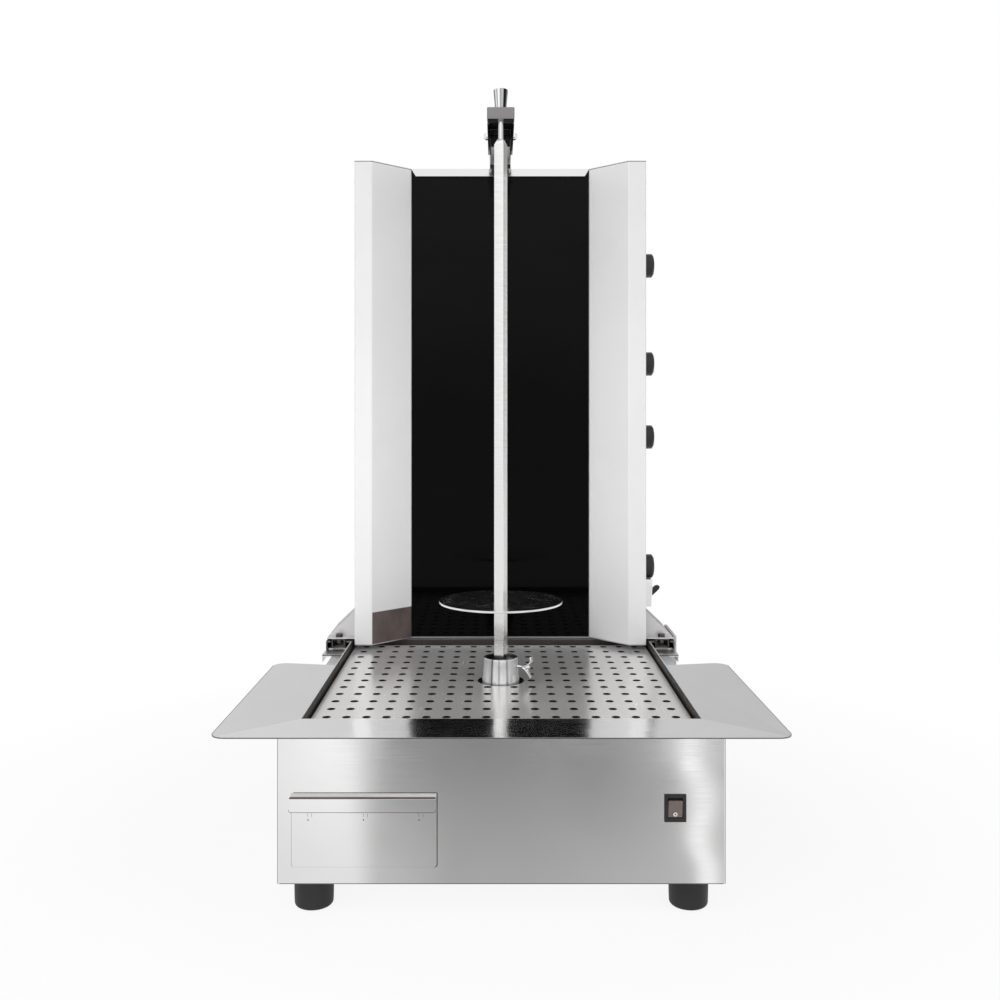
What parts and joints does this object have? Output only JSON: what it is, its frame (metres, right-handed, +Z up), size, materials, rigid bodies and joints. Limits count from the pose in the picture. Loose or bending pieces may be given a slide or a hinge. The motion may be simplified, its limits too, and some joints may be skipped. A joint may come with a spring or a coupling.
{
  "type": "electric skewer grill",
  "caption": "Upright electric grill: a motor-driven spit turns before a sliding heater housing, over a drip tray and grease drawer.",
  "frame": {"origin": "on the floor under the middle of the whole grill's box", "axes": "+X to the cook's right, +Y towards the back, +Z up the spit"},
  "size_m": [0.676, 0.704, 1.095],
  "materials": {
    "brushed_sheet": "brushed stainless sheet",
    "polished_sheet": "satin-polished stainless sheet",
    "bright_bar": "bright turned and polished stainless steel",
    "zinc_sheet": "zinc-plated steel",
    "black_glass": "glossy black glass-ceramic",
    "black_plastic": "moulded black phenolic",
    "rocker_plastic": "smoky brown-grey plastic",
    "black_rubber": "moulded rubber",
    "motor_paint": "dark grey paint",
    "fibre_board": "pressed mineral fibre",
    "heater_ribbon": "oxidised resistance ribbon",
    "glide_plastic": "acetal"
  },
  "bodies": {
    "base": {"base_shell": "brushed_sheet", "base_floor": "zinc_sheet", "base_back": "brushed_sheet", "feet": "black_rubber", "foot_bolts": "zinc_sheet", "drip_tray": "polished_sheet", "drain_spout": "polished_sheet", "perforated_plate": "polished_sheet", "drawer_runners": "zinc_sheet", "rocker_bezel": "black_plastic", "gear_motor": "motor_paint", "motor_bracket": "zinc_sheet", "bearing_flange": "bright_bar", "rail_shelves": "polished_sheet", "fixed_rails": "zinc_sheet", "cable_guard": "brushed_sheet", "cable_gland": "black_plastic"},
    "drawer": {"drawer_front": "brushed_sheet", "drawer_pan": "brushed_sheet"},
    "rocker": {"power_rocker": "rocker_plastic"},
    "spindle": {"drive_shaft": "bright_bar", "spit_socket": "bright_bar", "spit_bar": "bright_bar", "disc_stop": "bright_bar"},
    "disc": {"meat_disc": "bright_bar"},
    "thumb_screw": {"wing_screw": "bright_bar"},
    "housing": {"left_side_panel": "polished_sheet", "right_side_panel": "polished_sheet", "top_cover": "polished_sheet", "housing_floor": "polished_sheet", "rear_cover": "brushed_sheet", "glass_panel": "black_glass", "glass_retainers": "zinc_sheet", "heater_pans": "fibre_board", "heater_ribbons": "heater_ribbon", "insulation_board": "fibre_board", "regulators": "black_plastic", "switch_box": "polished_sheet", "rail_carriages": "zinc_sheet", "glide_strips": "glide_plastic", "left_gusset": "polished_sheet", "right_gusset": "polished_sheet", "gusset_bolts": "zinc_sheet", "arm_rear_channel": "polished_sheet", "arm_pads": "black_rubber", "side_screws": "bright_bar"},
    "arm": {"arm_front_channel": "polished_sheet", "arm_block": "brushed_sheet", "cross_bolt": "bright_bar"},
    "plunger": {"plunger_pin": "bright_bar", "plunger_knob": "bright_bar"},
    "knob_one": {"knob_1": "black_plastic"},
    "knob_two": {"knob_2": "black_plastic"},
    "knob_three": {"knob_3": "black_plastic"},
    "knob_four": {"knob_4": "black_plastic"},
    "lever": {"switch_lever": "black_plastic"}
  },
  "joints": [
    {"name": "drawer_slide", "type": "slide", "parent": "base", "child": "drawer", "axis": [0, -1, 0], "range_m": [0, 0.24]},
    {"name": "rocker_tilt", "type": "hinge", "parent": "base", "child": "rocker", "pos_m": [0.213, -0.2705, 0.1368], "axis": [-1, 0, 0], "range_deg": [0, 20]},
    {"name": "spit_spin", "type": "hinge", "parent": "base", "child": "spindle", "pos_m": [0, -0.018, 0.2], "axis": [0, 0, 1], "continuous": true},
    {"name": "disc_slide", "type": "slide", "parent": "spindle", "child": "disc", "axis": [0, 0, 1], "range_m": [0, 0.5]},
    {"name": "screw_turn", "type": "hinge", "parent": "spindle", "child": "thumb_screw", "pos_m": [0, -0.018, 0.2535], "axis": [0.9205, -0.3907, 0], "range_deg": [-180, 180]},
    {"name": "housing_slide", "type": "slide", "parent": "base", "child": "housing", "axis": [0, -1, 0], "range_m": [0, 0.08]},
    {"name": "arm_slide", "type": "slide", "parent": "housing", "child": "arm", "axis": [0, 1, 0], "range_m": [0, 0.08]},
    {"name": "plunger_lift", "type": "slide", "parent": "arm", "child": "plunger", "axis": [0, 0, 1], "range_m": [0, 0.03]},
    {"name": "knob_1_turn", "type": "hinge", "parent": "housing", "child": "knob_one", "pos_m": [0.2414, 0.259, 0.3587], "axis": [1, 0, 0], "range_deg": [0, 270]},
    {"name": "knob_2_turn", "type": "hinge", "parent": "housing", "child": "knob_two", "pos_m": [0.2414, 0.259, 0.5814], "axis": [1, 0, 0], "range_deg": [0, 270]},
    {"name": "knob_3_turn", "type": "hinge", "parent": "housing", "child": "knob_three", "pos_m": [0.2414, 0.259, 0.7074], "axis": [1, 0, 0], "range_deg": [0, 270]},
    {"name": "knob_4_turn", "type": "hinge", "parent": "housing", "child": "knob_four", "pos_m": [0.2414, 0.259, 0.8766], "axis": [1, 0, 0], "range_deg": [0, 270]},
    {"name": "lever_flip", "type": "hinge", "parent": "housing", "child": "lever", "pos_m": [0.2564, 0.259, 0.312], "axis": [0, 1, 0], "range_deg": [0, 30]}
  ],
  "couplings": [
    {"joint": "arm_slide", "follows": "housing_slide", "ratio": 1}
  ]
}
